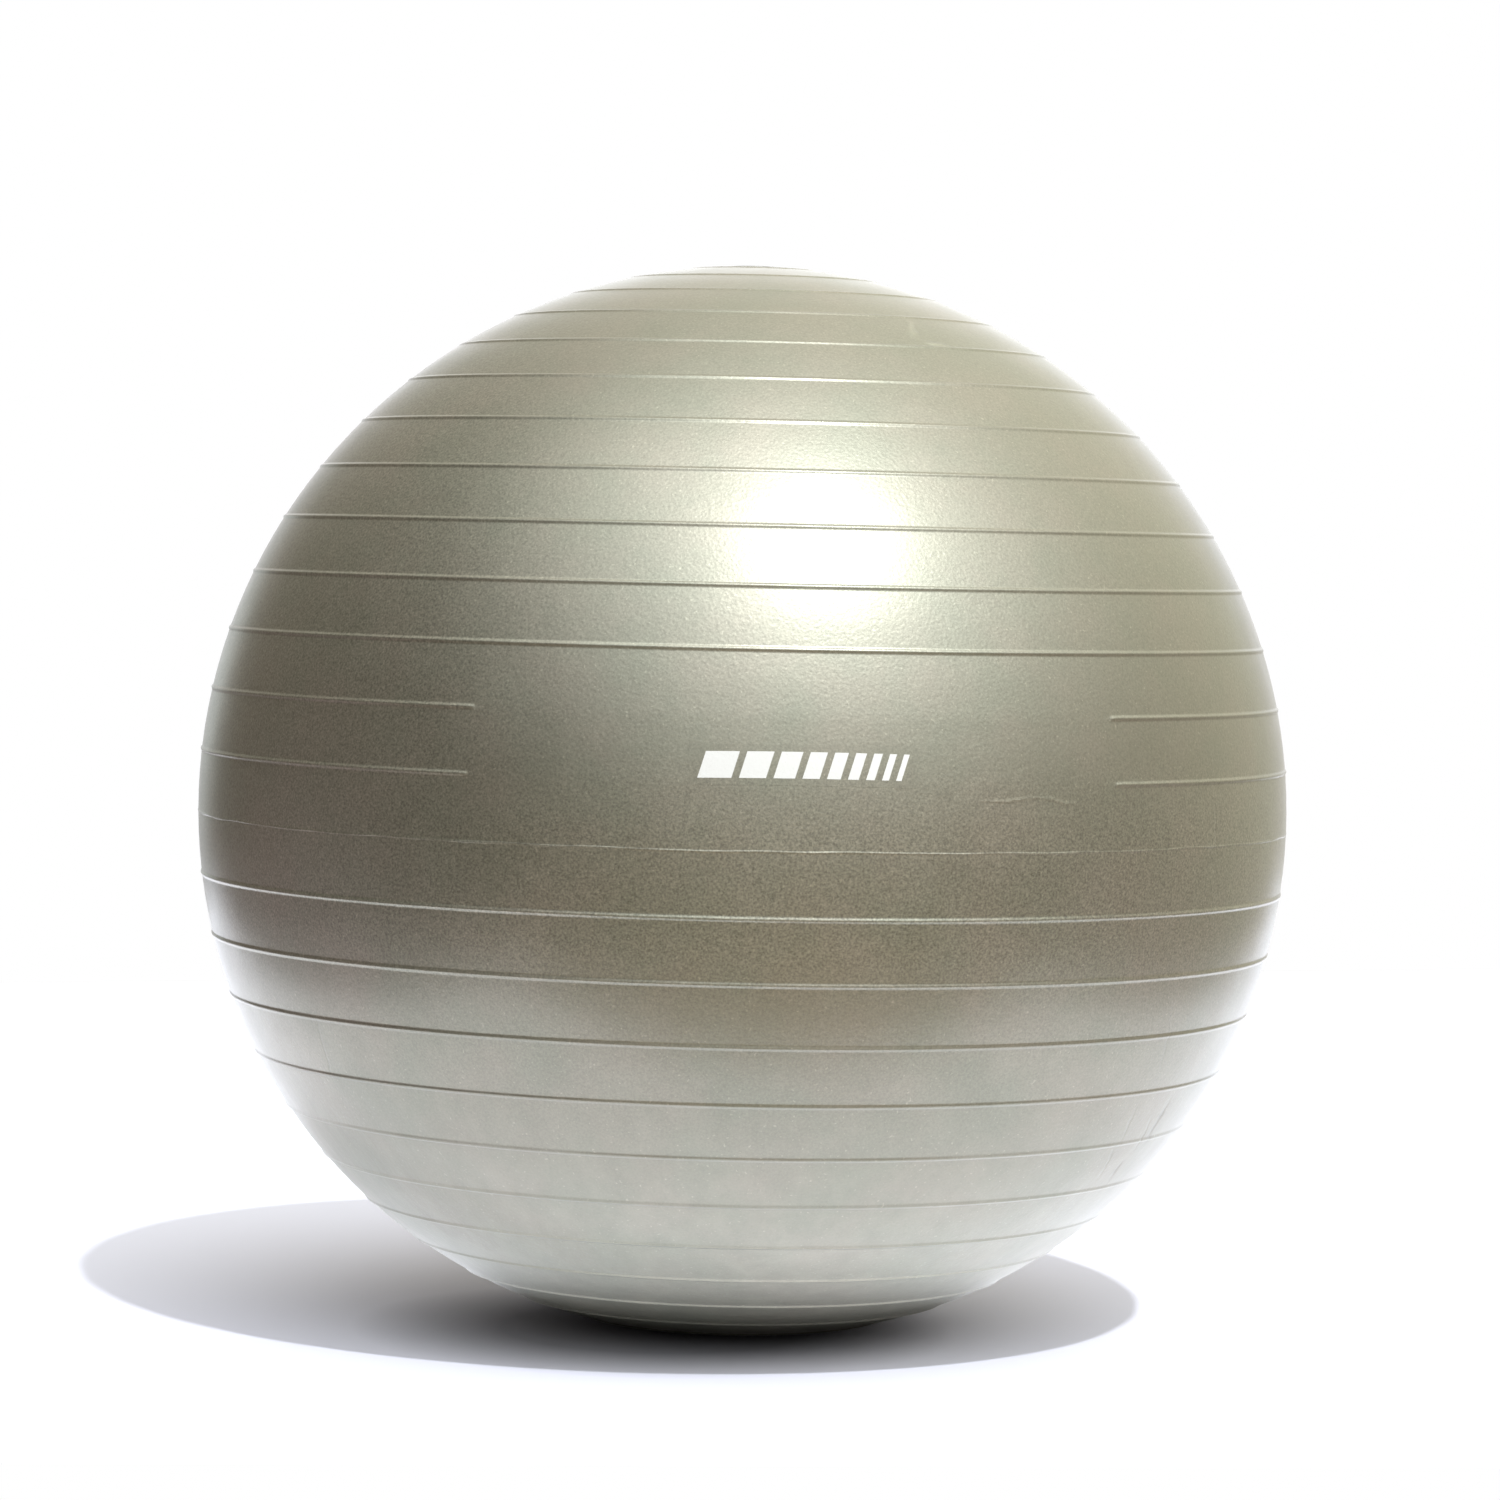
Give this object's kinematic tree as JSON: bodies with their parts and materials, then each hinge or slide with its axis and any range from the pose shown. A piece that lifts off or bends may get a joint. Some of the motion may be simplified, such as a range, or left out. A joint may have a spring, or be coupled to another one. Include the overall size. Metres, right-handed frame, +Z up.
{
  "type": "exercise ball",
  "caption": "Ribbed, silver-grey, blow-up vinyl exercise ball, slightly sagged on its own floor flat, with a flush push-in air plug at the top and a thin striped film label.",
  "frame": {"origin": "where the ball's axis meets the floor, at the middle of the flat it rests on", "axes": "+Z up along the axis through the floor flat and the air plug, -Y towards the label, +X to the right of a viewer facing the label"},
  "size_m": [0.6506, 0.6506, 0.6339],
  "materials": {
    "shell_vinyl": "pearly silver-grey soft vinyl, satin, with a fine pebble grain",
    "seat_vinyl": "smooth satin soft vinyl, slightly darker than the shell",
    "plug_plastic": "off-white moulded plastic, semi-gloss",
    "label_film": "clear transfer film, smoother than the vinyl under it",
    "label_ink": "opaque white screen-print ink"
  },
  "bodies": {
    "ball": {"ball_shell": "shell_vinyl", "valve_seat": "seat_vinyl", "label_film": "label_film", "label_print": "label_ink"},
    "plug": {"valve_plug": "plug_plastic"}
  },
  "joints": [
    {"name": "plug_pull", "type": "slide", "parent": "ball", "child": "plug", "axis": [0, 0, 1], "range_m": [0, 0.03]}
  ]
}
